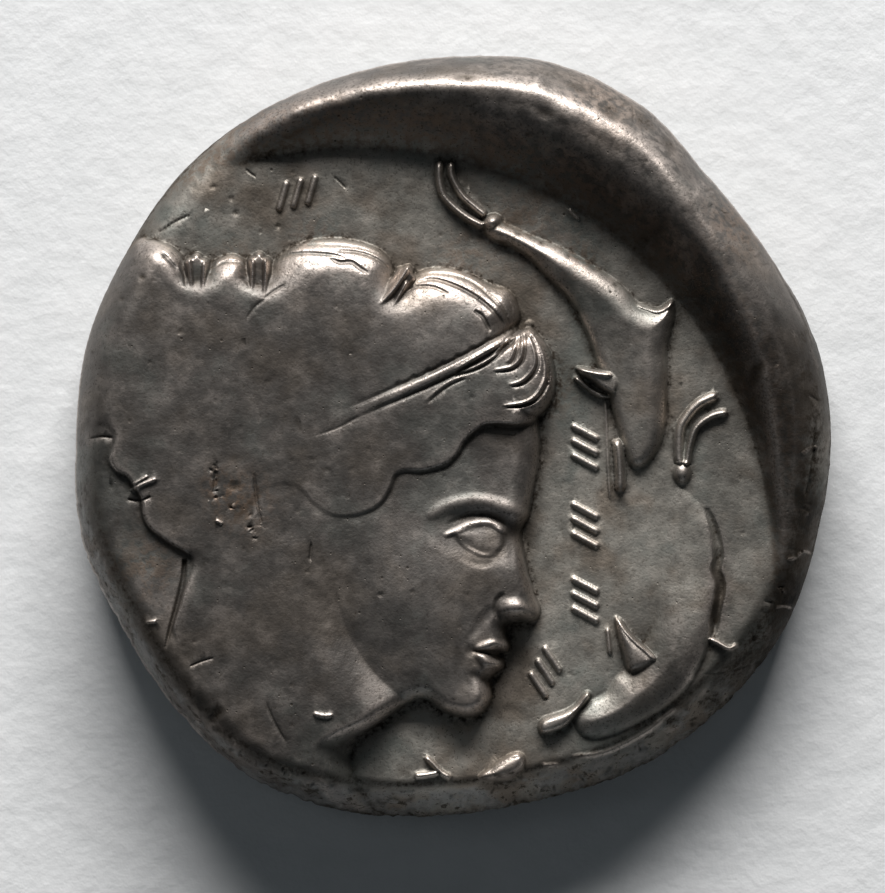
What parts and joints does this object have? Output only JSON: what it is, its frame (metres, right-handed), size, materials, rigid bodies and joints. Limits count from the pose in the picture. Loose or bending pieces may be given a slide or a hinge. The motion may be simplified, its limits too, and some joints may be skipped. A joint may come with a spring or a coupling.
{
  "type": "tetradrachm coin",
  "caption": "Thick hand-struck silver coin with a worn head in profile in relief, dolphins round it, a raised crescent rim and a chariot on the underside.",
  "frame": {"origin": "on the resting plane, under the middle of the coin's outline", "axes": "+Z out of the head side, +Y towards the top of the head, +X to the side the head faces"},
  "size_m": [0.026, 0.026, 0.0047],
  "materials": {
    "toned_silver": "toned and worn silver, satin, darker in the recesses"
  },
  "bodies": {
    "root": {"coin": "toned_silver"}
  },
  "joints": []
}
